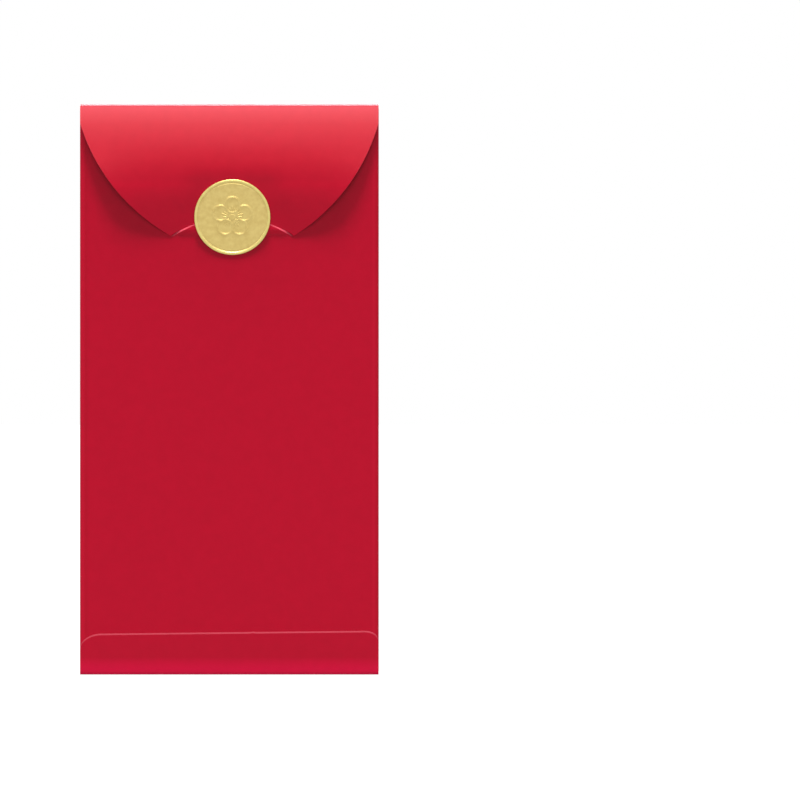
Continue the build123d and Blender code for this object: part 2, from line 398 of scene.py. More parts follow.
# Reds of the bottom flap, down to the nose of its fold. The lighter foot and nose are painted light, as
# if lit from below, where the flap rolls into the fold
RED_STRIP = (0.5, 0.001, 0.022)
RED_FOOT_LIT = (0.7, 0.001, 0.045)
RED_NOSE_LIT = (1.0, 0.001, 0.075)

# Reds of the front, from its upper slope down to its lower edge. All but the plain red are painted light:
# a pinker painted sheen on the upper slope, and painted light from below, growing lighter, where it turns
# down to the bottom fold
RED_BROW_SHEEN = (0.53, 0.015, 0.036)
RED_FRONT = (0.53, 0.001, 0.023)
RED_BEND_LIT = (0.67, 0.012, 0.043)
RED_TURN_LIT = (0.85, 0.03, 0.075)
RED_HEEL_LIT = (1.0, 0.056, 0.112)

# Reds of the top flap, from its tips up to the top fold, and of the lock tab. They are painted light: the
# tips are lighter, as if lit from below, the tab is lighter where it tilts down into shade, and the flap
# grows lighter and pinker towards the fold, a painted sheen
RED_TIP_LIT = (0.73, 0.001, 0.03)
RED_WAIST = (0.54, 0.003, 0.023)
RED_FLAP_LIT = (0.58, 0.006, 0.025)
RED_CROWN_SHEEN = (0.585, 0.009, 0.026)
RED_NECK_SHEEN = (0.61, 0.021, 0.039)
RED_TOP_SHEEN = (0.65, 0.038, 0.06)
RED_TAB_LIT = (0.72, 0.001, 0.03)

# The paper's inner side, and its core where a cut shows it
INSIDE_DARK = (0.5, 0.045, 0.07)
INSIDE_LIGHT = (0.58, 0.06, 0.085)
PALE = (0.4, 0.026, 0.05)
# A lighter core at the ends of the arched cut: painted light where the flap shades the cut
PALE_TIP_LIT = (0.95, 0.1, 0.16)

# Gold foil, its rim, and the adhesive
GOLD_DARK = (0.555, 0.41, 0.132)
GOLD_LIGHT = (0.64, 0.495, 0.175)
RIM_DARK = (0.61, 0.5, 0.16)
RIM_LIGHT = (0.68, 0.57, 0.2)
FILM_DARK = (0.62, 0.55, 0.45)
FILM_LIGHT = (0.78, 0.73, 0.62)

# How much darker the paper's clouds, speckles and cut fibres are, and the painted shade in the grooves
# between the ribs
MOTTLE_SHADE = (0.95, 0.95, 0.95)
SPECKLE_SHADE = (0.84, 0.84, 0.84)
FIBRE_SHADE = (0.86, 0.8, 0.8)
RIB_PAINTED_SHADE = (0.92, 0.92, 0.92)

# From one rib of the front to the next, in millimetres
RIB_PITCH = 2.3

# The red share of the sheen: soft on the flap side, full on the front and the bottom flap
SOFT_SHEEN = 0.1
FULL_SHEEN = 0.25

# Axes by number
ACROSS = 0
UP = 2

# Where the tones lie, in millimetres across or up the envelope, and the weights of the flap's clear coat.
# All the tones but the plain cut's are painted light and shade
# Painted highlight and painted shade in a narrow strip beside each side fold
PANEL_LIT_TONES = (
    (-44.0, RED_FOLD_HIGHLIGHT),
    (-43.0, RED_FOLD_HIGHLIGHT),
    (-42.3, RED_CREASE_SHADE),
    (-41.2, RED),
    (41.8, RED),
    (42.7, RED_FOLD_HIGHLIGHT),
    (43.3, RED_CREASE_SHADE),
    (44.0, RED_CREASE_SHADE),
)
# Painted light from below on the bottom flap's lowest few millimetres
FOOT_LIT_TONES = ((0.0, RED_NOSE_LIT), (0.7, RED_FOOT_LIT), (1.6, RED_FOOT_LIT), (5.2, RED_STRIP), (14.0, RED_STRIP))
# Painted light up the flap: lighter at its tips, then lighter and pinker towards the fold, a painted
# sheen
FLAP_LIT_TONES = (
    (129.0, RED_TIP_LIT),
    (135.0, RED_TIP_LIT),
    (146.0, RED_WAIST),
    (152.0, RED_FLAP_LIT),
    (158.0, RED_FLAP_LIT),
    (162.0, RED_CROWN_SHEEN),
    (165.0, RED_NECK_SHEEN),
    (167.2, RED_TOP_SHEEN),
    (HEIGHT, RED_TOP_SHEEN),
)
FLAP_COAT = ((129.0, 0.2), (155.0, 0.2), (160.0, 0.28), (165.0, 0.4), (HEIGHT, 0.4))
FLAP_GLOSS = tuple((z, (weight,) * 3) for z, weight in FLAP_COAT)
# Painted light on the lock tab, lighter where it tilts down into shade
TAB_LIT_TONES = ((128.8, RED), (130.2, RED_TAB_LIT), (132.5, RED_TAB_LIT), (135.0, RED))
CUT_TONES = ((-WIDTH / 2, PALE), (WIDTH / 2, PALE))
# Painted light on the tab's cut edge towards the arch's ends, where the flap shades it
TAB_CUT_LIT_TONES = (
    (FLAP_SHIFT - 17.0, PALE_TIP_LIT),
    (FLAP_SHIFT - 15.0, PALE_TIP_LIT),
    (FLAP_SHIFT - 10.0, PALE),
    (FLAP_SHIFT + 10.0, PALE),
    (FLAP_SHIFT + 15.0, PALE_TIP_LIT),
    (FLAP_SHIFT + 17.0, PALE_TIP_LIT),
)

# Tones of the front, by how far its surface faces up: painted light from below where it faces down, and a
# painted sheen where it faces up
FRONT_LIT_TONES = (
    (-0.26, RED_HEEL_LIT),
    (-0.167, RED_TURN_LIT),
    (-0.119, RED_BEND_LIT),
    (-0.05, RED_FRONT),
    (0.1, RED_FRONT),
    (0.165, RED_BROW_SHEEN),
    (0.3, RED_BROW_SHEEN),
)


def pearl_finish(name, sheen):
    """Red pearlescent paper: a broad red sheen under a thin clear one."""
    return principled(
        name,
        Metallic=sheen,
        Roughness=0.3,
        Specular_IOR_Level=0.02,
        Coat_Weight=0.2,
        Coat_Roughness=0.21,
    )


def pearl_paper(name, axis, stops, sheen=SOFT_SHEEN, gloss=None):
    """Pearl paper with a faint cloudiness and a fine grain, coloured by the tones given along an axis,
    which paint light and shade on it.
    """
    material, tree, shader = pearl_finish(name, sheen)
    mottle = ramp(tree, noise(tree, scale=0.35, detail=4.0), MOTTLE_SHADE, WHITE)
    link(tree, times(tree, tones_along(tree, axis, stops), mottle), shader.inputs["Base Color"])
    if gloss:
        link(tree, tones_along(tree, UP, gloss), shader.inputs["Coat Weight"])
    bump_from(tree, shader, noise(tree, scale=5.0, detail=2.0), strength=0.25, distance=0.02)
    return material


def rib_painted_shade(tree):
    """Painted shade: a little darker in the grooves between the ribs."""
    place = tree.nodes.new("ShaderNodeTexCoord")
    split = tree.nodes.new("ShaderNodeSeparateXYZ")
    link(tree, place.outputs["Object"], split.inputs[0])
    turn = tree.nodes.new("ShaderNodeMath")
    turn.operation = "MULTIPLY"
    turn.inputs[1].default_value = 2 * math.pi / (RIB_PITCH * MM)
    link(tree, split.outputs[ACROSS], turn.inputs[0])
    wave = tree.nodes.new("ShaderNodeMath")
    wave.operation = "COSINE"
    link(tree, turn.outputs[0], wave.inputs[0])
    spread = tree.nodes.new("ShaderNodeMapRange")
    spread.inputs["From Min"].default_value = -1.0
    link(tree, wave.outputs[0], spread.inputs["Value"])
    return ramp(tree, spread.outputs["Result"], RIB_PAINTED_SHADE, WHITE, start=0.0, stop=1.0)


def ribbed_paper():
    """Pearl paper of the front: speckled and ribbed, with painted shade in the grooves, a painted sheen
    on its upper slope, and painted light where it turns down to the bottom fold.
    """
    material, tree, shader = pearl_finish("pearl_paper_ribbed_lit", FULL_SHEEN)
    speckle = ramp(tree, noise(tree, scale=1.1, detail=3.0), SPECKLE_SHADE, WHITE)
    facing_light = tones_along(tree, UP, FRONT_LIT_TONES, source="Normal", unit=1.0)
    tone = times(tree, facing_light, rib_painted_shade(tree))
    link(tree, times(tree, tone, speckle), shader.inputs["Base Color"])
    bump_from(tree, shader, noise(tree, scale=3.0, detail=3.0), strength=0.5, distance=0.02)
    return material


def inside_paper():
    """The matt, paler inner side, with fibres that run up the sheet."""
    material, tree, shader = principled("paper_inside", Roughness=0.8, Specular_IOR_Level=0.15)
    fibre = noise(tree, scale=1.2, detail=5.0, stretch=(1, 1, 0.4))
    link(tree, ramp(tree, fibre, INSIDE_DARK, INSIDE_LIGHT), shader.inputs["Base Color"])
    bump_from(tree, shader, noise(tree, scale=3.0, detail=4.0), strength=0.3, distance=0.03)
    return material


def cut_paper(name, stops):
    """The paper's core along a cut edge."""
    material, tree, shader = principled(name, Roughness=0.75, Specular_IOR_Level=0.2)
    fibre = ramp(tree, noise(tree, scale=2.0, detail=4.0), FIBRE_SHADE, WHITE)
    link(tree, times(tree, tones_along(tree, ACROSS, stops), fibre), shader.inputs["Base Color"])
    bump_from(tree, shader, noise(tree, scale=6.0, detail=3.0), strength=0.4, distance=0.03)
    return material


def gold_foil(name, dark, light):
    """Satin gold foil with a faint unevenness."""
    material, tree, shader = principled(
        name, Metallic=0.75, Roughness=0.36, Specular_IOR_Level=0.4, Coat_Weight=0.0
    )
    tone = noise(tree, scale=0.8, detail=4.0)
    link(tree, ramp(tree, tone, dark, light), shader.inputs["Base Color"])
    bump_from(tree, shader, noise(tree, scale=1.7, detail=4.0), strength=0.6, distance=0.04)
    return material


def adhesive_film():
    """Cloudy dried adhesive."""
    material, tree, shader = principled("adhesive_film", Roughness=0.35, Specular_IOR_Level=0.5)
    cloud = noise(tree, scale=0.8, detail=3.0)
    link(tree, ramp(tree, cloud, FILM_DARK, FILM_LIGHT), shader.inputs["Base Color"])
    bump_from(tree, shader, noise(tree, scale=1.5, detail=3.0), strength=0.3, distance=0.03)
    return material


# Papers with painted light: a sheen up the flap, highlight and shade by the side folds, light from below
# on the foot and the front's lower edge, light on the tab and its cut's ends
FLAP_OUTSIDE = pearl_paper("pearl_paper_flap_lit", UP, FLAP_LIT_TONES, gloss=FLAP_GLOSS)
PANEL_OUTSIDE = pearl_paper("pearl_paper_panel_lit_edges", ACROSS, PANEL_LIT_TONES)
FOOT_OUTSIDE = pearl_paper("pearl_paper_foot_lit", UP, FOOT_LIT_TONES, FULL_SHEEN)
FRONT_OUTSIDE = ribbed_paper()
INSIDE = inside_paper()
CUT = cut_paper("paper_cut_edge", CUT_TONES)
TAB_CUT = cut_paper("paper_cut_tab_lit", TAB_CUT_LIT_TONES)
TAB_OUTSIDE = pearl_paper("pearl_paper_tab_lit", UP, TAB_LIT_TONES)
GOLD = gold_foil("gold_foil", GOLD_DARK, GOLD_LIGHT)
GOLD_RIM = gold_foil("gold_foil_rim", RIM_DARK, RIM_LIGHT)
FILM = adhesive_film()


# Top flap

OUTLINE_STEPS = 60
FLAP_SIDE_STEPS = 70
FLAP_FOOT_STEPS = 90
FLAP_ROWS = 80
TONGUE_TRIM = 0.1
FLAP_CUT_SHOWN = 0.03


def side_arc(side, radius_loss, steps):
    """Points up one long round side of the flap, from its tip to the straight edge near the fold."""
    tip = np.array([FLAP_SHIFT + side * TIP_HALF_SPAN, CHORD_Z])
    shoulder = np.array([side * EDGE_HALF, FLAP_SIDE_Z])
    chord = shoulder - tip
    length = np.linalg.norm(chord)
    inward = np.array([-side * abs(chord[1]), abs(chord[0])]) / length
    centre = (tip + shoulder) / 2 + inward * math.sqrt(FLAP_SIDE_RADIUS**2 - length**2 / 4)
    start = math.atan2(*(tip - centre)[::-1])
    stop = math.atan2(*(shoulder - centre)[::-1])
    if side < 0:
        start %= 2 * math.pi
        stop %= 2 * math.pi
    angle = np.linspace(start, stop, steps)
    radius = FLAP_SIDE_RADIUS - radius_loss
    return centre + radius * np.stack([np.cos(angle), np.sin(angle)], -1)


_right = side_arc(1, 0, OUTLINE_STEPS)
_left = side_arc(-1, 0, OUTLINE_STEPS)
OUTLINE_Z = _right[:, 1]
OUTLINE_HALF = (_right[:, 0] - _left[:, 0]) / 2


def flap_columns(setback):
    """x and lower edge of each column of the flap, the edge set back by a little."""
    left = side_arc(-1, setback, FLAP_SIDE_STEPS)[::-1]
    right = side_arc(1, setback, FLAP_SIDE_STEPS)
    x = np.linspace(left[-1, 0], right[0, 0], FLAP_FOOT_STEPS)[1:-1]
    arch = ARCH_CENTRE_Z + np.sqrt((ARCH_RADIUS + SLIT) ** 2 - (x - FLAP_SHIFT) ** 2)
    low = np.maximum(np.minimum(arch, TONGUE_Z + TONGUE_TRIM), CHORD_Z) + setback
    return np.concatenate([left[:, 0], x, right[:, 0]]), np.concatenate([left[:, 1], low, right[:, 1]])


def flap_sheet():
    """The flap from its fold down to its tips and its tongue."""
    grids = []
    for setback in (FLAP_CUT_SHOWN, 0.0):
        x, low = flap_columns(setback)
        z = fan(low, np.full_like(low, FOLD_END[1]), FLAP_ROWS)
        grids.append(back_sheet(np.broadcast_to(x, z.shape).copy(), z, flap_depth))
    return shell("top_flap_sheet", grids[0][0], grids[1][1], [FLAP_OUTSIDE, INSIDE, INSIDE])


top_flap = flap_sheet()
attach(top_flap, "flap")
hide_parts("top_flap")


# Top crease

CREASE_COLUMNS = 45
CREASE_STEPS = 28


def arc_strip(centre, radius, start, stop, steps):
    """Points along an arc, by its angles in degrees."""
    angle = np.radians(np.linspace(start, stop, steps))
    ring = np.stack([np.cos(angle), np.sin(angle)], -1)
    return np.array(centre) + radius * ring


def along_x(points, columns):
    """Rows of y, z points drawn out along x."""
    grid = np.empty((len(points), len(columns), 3))
    grid[:, :, 0] = columns
    grid[:, :, 1] = points[:, 0][:, None]
    grid[:, :, 2] = points[:, 1][:, None]
    return grid


def top_crease():
    """The round top fold, with a short straight leg down to the front panel."""
    columns = np.linspace(EDGE_HALF, -EDGE_HALF, CREASE_COLUMNS)
    sweep = 180 - math.degrees(FLAP_LEAN)
    centre = (TOP_AXIS_Y, TOP_AXIS_Z)
    sides = []
    for radius in (TOP_RADIUS, TOP_RADIUS - PAPER):
        arc = arc_strip(centre, radius, 0, sweep, CREASE_STEPS)
        leg_z = [FRONT_TOP + (TOP_AXIS_Z - FRONT_TOP) * t for t in (0, 0.5)]
        leg = np.array([[TOP_AXIS_Y + radius, z] for z in leg_z])
        sides.append(along_x(np.concatenate([leg, arc]), columns))
    return shell("top_fold_sheet", sides[0], sides[1], [FLAP_OUTSIDE, INSIDE, CUT])


top_fold = top_crease()
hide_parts("top_fold")
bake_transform(top_fold)


# Back panel and the lock tab cut from it

ROLL_STEPS = 9
FLANK_STEPS = 36
ARCH_STEPS = 90
LOW_ROWS = 60
SWELL_ROWS = 50
HIGH_ROWS = 40


def window_columns():
    """x stations across the panel, with the arched cut's two ends among them."""
    left_tip = FLAP_SHIFT - TIP_HALF_SPAN
    right_tip = FLAP_SHIFT + TIP_HALF_SPAN
    roll = np.linspace(0, ROLL_WIDTH, ROLL_STEPS)
    left_flank = np.linspace(LEFT_EDGE + ROLL_WIDTH, left_tip, FLANK_STEPS)
    right_flank = np.linspace(right_tip, BACK_RIGHT - ROLL_WIDTH, FLANK_STEPS)
    left = np.concatenate([LEFT_EDGE + roll[:-1], left_flank])
    right = np.concatenate([right_flank, BACK_RIGHT - roll[::-1][1:]])
    middle = np.linspace(left_tip, right_tip, ARCH_STEPS)[1:-1]
    return left, middle, right


def back_panel_sheet():
    """The panel as one grid: its rows run up to the chord, then open round the arched cut."""
    left, middle, right = window_columns()
    x = np.concatenate([left, middle, right])
    plain = np.linspace(BACK_BOTTOM, SWELL_FOOT, LOW_ROWS)[:-1]
    below = np.concatenate([plain, np.linspace(SWELL_FOOT, CHORD_Z, SWELL_ROWS)])
    lower_z = np.repeat(below[:, None], len(x), 1)
    edge = np.full(len(x), CHORD_Z)
    inside = slice(len(left), len(left) + len(middle))
    edge[inside] = arch_z(middle, ARCH_RADIUS + SLIT)
    upper_z = fan(edge, np.full(len(x), BACK_TOP), HIGH_ROWS)
    grids = [
        back_sheet(np.broadcast_to(x, z.shape).copy(), z, panel_depth) for z in (lower_z, upper_z)
    ]
    return panel_with_window(grids, len(left), len(middle))


def panel_with_window(grids, left_count, middle_count):
    """Closes the two grids of the panel into one sheet that is cut along the arch."""
    (low_out, low_in), (up_out, up_in) = grids
    cols = low_out.shape[1]
    low_index = np.arange(low_out.shape[0] * cols).reshape(-1, cols)
    up_index = np.arange(up_out.shape[0] * cols).reshape(-1, cols) + low_index.size
    joined = np.r_[0:left_count, left_count + middle_count : cols]
    up_index[0, joined] = low_index[-1, joined]
    count = low_index.size + up_out.shape[0] * cols
    skin = np.concatenate([grid_quads(low_index), grid_quads(up_index)])
    outline = np.concatenate(
        [
            low_index[0, :-1],
            low_index[:-1, -1],
            up_index[:-1, -1],
            up_index[-1, :0:-1],
            up_index[:0:-1, 0],
            low_index[:0:-1, 0],
        ]
    )
    first = left_count - 1
    last = left_count + middle_count
    arch = np.concatenate([up_index[0, first : last + 1], low_index[-1, last - 1 : first : -1]])
    rim = np.concatenate([rim_quads(loop, count) for loop in (outline, arch)])
    faces = np.concatenate([skin, skin[:, ::-1] + count, rim])
    kinds = np.repeat([0, 1, 2], [len(skin), len(skin), len(rim)])
    points = np.concatenate([g.reshape(-1, 3) for g in (low_out, up_out, low_in, up_in)]) * MM
    piece = mesh_piece("back_panel_sheet", points, faces, kinds, [PANEL_OUTSIDE, INSIDE, CUT])
    drop_loose(piece)
    return piece


def drop_loose(piece):
    """Takes out points that no face uses."""
    edit = bmesh.new()
    edit.from_mesh(piece.data)
    loose = [v for v in edit.verts if not v.link_faces]
    bmesh.ops.delete(edit, geom=loose, context="VERTS")
    edit.to_mesh(piece.data)
    edit.free()


back_panel = back_panel_sheet()
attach(back_panel, "envelope")
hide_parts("back_panel")

TAB_CUT_SHOWN = 0.42
TAB_COLUMNS = 121
TAB_ROWS = 30


def lock_tab_sheet():
    """The tongue-shaped tab, with a slanted cut edge that shows the paper's pale core."""
    grids = []
    x = FLAP_SHIFT + np.linspace(-TIP_HALF_SPAN, TIP_HALF_SPAN, TAB_COLUMNS)
    for setback in (TAB_CUT_SHOWN, 0.0):
        high = np.maximum(arch_z(x, ARCH_RADIUS) - setback, CHORD_Z)
        z = fan(np.full_like(x, CHORD_Z), high, TAB_ROWS)
        grids.append(back_sheet(np.broadcast_to(x, z.shape).copy(), z, tab_depth))
    return shell("lock_tab_sheet", grids[0][0], grids[1][1], [TAB_OUTSIDE, INSIDE, TAB_CUT])


lock_tab = lock_tab_sheet()
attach(lock_tab, "envelope")
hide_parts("lock_tab")


# Front panel, embossed with fine upright ribs

RIB_DEPTH = 0.07
RIB_FADE = 1.5
RIB_POINTS = 8
FRONT_ROWS = 150
ROW_CROWDING = 0.6


def front_panel_sheet():
    """The pillowed front, with more rows of points towards its two ends."""
    columns = int(round((RIGHT_EDGE - LEFT_EDGE) / RIB_PITCH * RIB_POINTS))
    x = np.linspace(RIGHT_EDGE, LEFT_EDGE, columns)
    even = np.linspace(0, 1, FRONT_ROWS)
    crowded = even - np.sin(2 * np.pi * even) / (2 * np.pi) * ROW_CROWDING
    z = FRONT_BOTTOM + (FRONT_TOP - FRONT_BOTTOM) * crowded
    x, z = np.meshgrid(x, z)
    y = FRONT_Y + pillow(x, z)
    edge = np.minimum.reduce([x - LEFT_EDGE, RIGHT_EDGE - x, z - FRONT_BOTTOM, FRONT_TOP - z])
    rib = (0.5 - 0.5 * np.cos(2 * np.pi * x / RIB_PITCH)) * np.clip(edge / RIB_FADE, 0, 1)
    outer = np.stack([x, y - RIB_DEPTH * rib, z], -1)
    inner = np.stack([x, y - PAPER, z], -1)
    return shell("front_panel_sheet", outer, inner, [FRONT_OUTSIDE, INSIDE, CUT])


front_panel = front_panel_sheet()
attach(front_panel, "envelope")
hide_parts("front_panel")


# Rounded side creases: a nose bulges by three quarters of its two handles

NOSE_SHARE = 0.75
FOLD_STEPS = 24
FOLD_ROWS = 40


def bezier(start, start_way, stop, stop_way, reach, steps):
    """A round nose from one edge to another, leaving and arriving along the two directions."""
    t = np.linspace(0, 1, steps)[:, None]
    begin = np.array(start)
    end = np.array(stop)
    leave = begin + np.array(start_way) / np.linalg.norm(start_way) * reach
    arrive = end + np.array(stop_way) / np.linalg.norm(stop_way) * reach
    return (1 - t) ** 3 * begin + 3 * t * (1 - t) ** 2 * leave + 3 * t * t * (1 - t) * arrive + t**3 * end


def thick_line(points):
    """A line of points and the same line one paper thickness to its left."""
    way = np.gradient(points, axis=0)
    way /= np.linalg.norm(way, axis=1, keepdims=True)
    return points, points + PAPER * np.stack([-way[:, 1], way[:, 0]], -1)


def along_z(points, low, high, rows):
    """Columns of x, y points drawn out up z."""
    z = np.linspace(low, high, rows)
    grid = np.empty((rows, len(points), 3))
    grid[:, :, 0] = points[:, 0]
    grid[:, :, 1] = points[:, 1]
    grid[:, :, 2] = z[:, None]
    return grid


def side_fold(name, side, start, start_way, stop, stop_way, reach):
    """One round side fold, in place of the CAD node that side names."""
    line, back = thick_line(bezier(start, start_way, stop, stop_way, reach, FOLD_STEPS))
    piece = shell(
        name,
        along_z(line, BACK_BOTTOM, FRONT_TOP, FOLD_ROWS),
        along_z(back, BACK_BOTTOM, FRONT_TOP, FOLD_ROWS),
        [PANEL_OUTSIDE, INSIDE, CUT],
    )
    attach(piece, "envelope")
    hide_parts(side)


LEFT_REACH = (LEFT_EDGE + WIDTH / 2) / NOSE_SHARE
RIGHT_REACH = (WIDTH / 2 - RIGHT_EDGE) / NOSE_SHARE
side_fold(
    "left_fold_sheet",
    "left_side_fold",
    (LEFT_EDGE, FRONT_Y),
    (-1, 0),
    (LEFT_EDGE, BACK_Y + LEFT_ROLL),
    (-1, 2 * LEFT_ROLL / ROLL_WIDTH),
    LEFT_REACH,
)
side_fold(
    "right_fold_sheet",
    "right_side_fold",
    (RIGHT_EDGE, BACK_Y + PAPER + GLUE),
    (1, 0),
    (RIGHT_EDGE, FRONT_Y),
    (1, 0),
    RIGHT_REACH,
)


# Bottom crease and flap

BOTTOM_LEFT_Z = 12.0
BOTTOM_RIGHT_Z = 12.95
CORNER_LEFT = (6.2, 4.3)
CORNER_RIGHT = (3.9, 3.0)
BOTTOM_FOLD_Z = 0.75
BOTTOM_ROLL = 0.12
BOTTOM_ROLL_HEIGHT = 2.6
NICK_X = 7.0
NICK = 0.12
NICK_WIDTH = 0.5
NICK_SPAN = 2
BOTTOM_CUT_SHOWN = 0.46
CORNER_STEPS = 14
NICK_STEPS = 25
LEFT_STEPS = 30
RIGHT_STEPS = 24
BOTTOM_ROWS = 44
BOTTOM_CROWDING = 0.6


def bottom_edge(x):
    """Upper edge of the bottom flap: out of square, with two unlike round corners and a tiny nick."""
    t = (x + EDGE_HALF) / (2 * EDGE_HALF)
    z = BOTTOM_LEFT_Z + (BOTTOM_RIGHT_Z - BOTTOM_LEFT_Z) * t
    for gap, (wide, tall) in ((x + EDGE_HALF, CORNER_LEFT), (EDGE_HALF - x, CORNER_RIGHT)):
        z = z - tall * (1 - np.sqrt(1 - np.clip(1 - gap / wide, 0, 1) ** 2))
    return z + NICK * np.exp(-(((x - NICK_X) / NICK_WIDTH) ** 2))


def bottom_depth(x, z):
    """The bottom flap's outer face in front of the back panel: it rolls into the bottom fold."""
    roll = BOTTOM_ROLL * np.clip(1 - (z - BOTTOM_FOLD_Z) / BOTTOM_ROLL_HEIGHT, 0, 1) ** 2
    return BACK_Y - BOTTOM_FLAP_Y - roll


def bottom_flap_sheet():
    """The bottom flap, with a slanted cut edge that shows the paper's pale core."""
    bend = np.linspace(0, math.pi / 2, CORNER_STEPS)
    left = -EDGE_HALF + CORNER_LEFT[0] * (1 - np.cos(bend))
    right = EDGE_HALF - CORNER_RIGHT[0] * (1 - np.cos(bend[::-1]))
    nick = np.linspace(NICK_X - NICK_SPAN, NICK_X + NICK_SPAN, NICK_STEPS)
    before = np.linspace(left[-1], nick[0], LEFT_STEPS)[1:-1]
    after = np.linspace(nick[-1], right[0], RIGHT_STEPS)[1:-1]
    x = np.concatenate([left, before, nick, after, right])
    grids = []
    for setback in (BOTTOM_CUT_SHOWN, 0.0):
        high = bottom_edge(x) - setback
        z = fan(np.full_like(x, BOTTOM_FOLD_Z), high, BOTTOM_ROWS)
        crowded = np.linspace(0, 1, BOTTOM_ROWS)[:, None] ** BOTTOM_CROWDING
        z = BOTTOM_FOLD_Z + (z - BOTTOM_FOLD_Z) * crowded
        grids.append(back_sheet(np.broadcast_to(x, z.shape).copy(), z, bottom_depth))
    piece = shell("bottom_flap_sheet", grids[0][0], grids[1][1], [FOOT_OUTSIDE, INSIDE, CUT])
    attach(piece, "envelope")
    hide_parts("bottom_flap")


bottom_flap_sheet()


def bottom_fold_sheet():
    """The round bottom fold between the bottom flap and the front."""
    start = (BOTTOM_FLAP_Y + BOTTOM_ROLL, BOTTOM_FOLD_Z)
    start_way = (2 * BOTTOM_ROLL / BOTTOM_ROLL_HEIGHT, -1)
    stop = (FRONT_Y, BOTTOM_FOLD_Z)
    stop_way = (0, -1)
    reach = BOTTOM_FOLD_Z / NOSE_SHARE
    line, back = thick_line(bezier(start, start_way, stop, stop_way, reach, CREASE_STEPS))
    columns = np.linspace(-EDGE_HALF, EDGE_HALF, CREASE_COLUMNS)
    piece = shell(
        "bottom_fold_sheet",
        along_x(line[::-1], columns),
        along_x(back[::-1], columns),
        [FOOT_OUTSIDE, INSIDE, CUT],
    )
    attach(piece, "envelope")
    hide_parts("bottom_fold")


bottom_fold_sheet()


# Seal

SEAL_Z = HEIGHT - SEAL_DROP
SEAL_STANDOFF = 0.48
SEAL_THICKNESS = 0.38
FOIL_BACK = 0.2
SEAL_OUT = np.array([0, -math.cos(FLAP_RETURN), -math.sin(FLAP_RETURN)])
SEAL_UP = np.array([0, -math.sin(FLAP_RETURN), math.cos(FLAP_RETURN)])
SEAL_ACROSS = np.array([1.0, 0, 0])
SEAL_DEPTH = TIP_DEPTH + (SEAL_Z - CHORD_Z) * math.tan(FLAP_RETURN)
SEAL_ORIGIN = np.array([FLAP_SHIFT, BACK_Y - SEAL_DEPTH, SEAL_Z]) + SEAL_OUT * SEAL_STANDOFF

# Its face: a rounded rim, a groove inside it, a shallow dish, and a blossom in relief
RIM_WIDTH = 0.85
RIM_RISE = 0.2
RIM_PRESS = 0.98
GROOVE_INSET = 0.25
GROOVE_WIDTH = 0.28
GROOVE_DEPTH = 0.07
DISH = 0.06
RELIEF = 0.2
LINE_WIDTH = 0.55
PETALS = 5
PETAL_RADIUS = 2.5
PETAL_RING_RADIUS = 3.6
HEART_RADIUS = 1.0
HEART_EDGE = 0.3
VEINS = ((-0.28, 2.6), (0, 3.1), (0.28, 2.6))
VEIN_WIDTH = 0.28
VEIN_HEIGHT = 0.7

# Spokes and rings of its mesh, the rings closer together near the rim
SPOKES = 300
FIELD_RINGS = 74
BORDER_RINGS = 37
BORDER_WIDTH = 1.6
HUB_RADIUS = 0.02
RIM_MARGIN = 0.02


def ridge(distance, width):
    """A soft raised line: 1 on its middle, 0 past its width."""
    t = np.clip(np.abs(distance) / width, 0, 1)
    return (1 - t * t) ** 2


def blossom(u, v):
    """Height share of the five-petal blossom pressed into the seal."""
    angles = [math.radians(90 + 360 * n / PETALS) for n in range(PETALS)]
    nearest = np.full(u.shape, np.inf)
    for angle in angles:
        petal_u = PETAL_RING_RADIUS * math.cos(angle)
        petal_v = PETAL_RING_RADIUS * math.sin(angle)
        nearest = np.minimum(nearest, np.hypot(u - petal_u, v - petal_v) - PETAL_RADIUS)
    outline = ridge(nearest + LINE_WIDTH / 2, LINE_WIDTH)
    heart = 1 - np.clip((np.hypot(u, v) - HEART_RADIUS + HEART_EDGE) / (2 * HEART_EDGE), 0, 1)
    height = np.maximum(outline, heart * heart * (3 - 2 * heart))
    for angle in angles:
        for turn, reach in VEINS:
            way = np.array([math.cos(angle + turn), math.sin(angle + turn)])
            along = np.clip(u * way[0] + v * way[1], HEART_RADIUS, reach)
            gap = np.hypot(u - along * way[0], v - along * way[1])
            height = np.maximum(height, VEIN_HEIGHT * ridge(gap, VEIN_WIDTH))
    return height


def seal_height(r, u, v):
    """Height of the seal's face over the plane that it lies on."""
    bead = np.clip(1 - ((r - SEAL_RADIUS + RIM_WIDTH / 2) / (RIM_WIDTH / 2)) ** 2, 0, 1)
    groove = ridge(r - (SEAL_RADIUS - RIM_WIDTH - GROOVE_INSET), GROOVE_WIDTH)
    dish = DISH * (1 - (r / SEAL_RADIUS) ** 2)
    rim = RIM_RISE * np.sqrt(bead) * RIM_PRESS
    return SEAL_THICKNESS + rim - GROOVE_DEPTH * groove + RELIEF * blossom(u, v) - dish


def seal_points(radius, angle):
    """The seal's points: rings of its face, the ring round its base, and the middles of both."""
    r, turn = np.meshgrid(radius, angle, indexing="ij")
    u = r * np.cos(turn)
    v = r * np.sin(turn)
    height = seal_height(r, u, v)
    top = SEAL_ORIGIN + u[..., None] * SEAL_ACROSS + v[..., None] * SEAL_UP
    top = top + height[..., None] * SEAL_OUT
    around = np.cos(angle)[:, None] * SEAL_ACROSS + np.sin(angle)[:, None] * SEAL_UP
    base = SEAL_ORIGIN + SEAL_RADIUS * around + FOIL_BACK * SEAL_OUT
    middle_top = SEAL_ORIGIN + (SEAL_THICKNESS + RELIEF - DISH) * SEAL_OUT
    middle_base = SEAL_ORIGIN + FOIL_BACK * SEAL_OUT
    return np.concatenate([top.reshape(-1, 3), base, [middle_top, middle_base]]) * MM


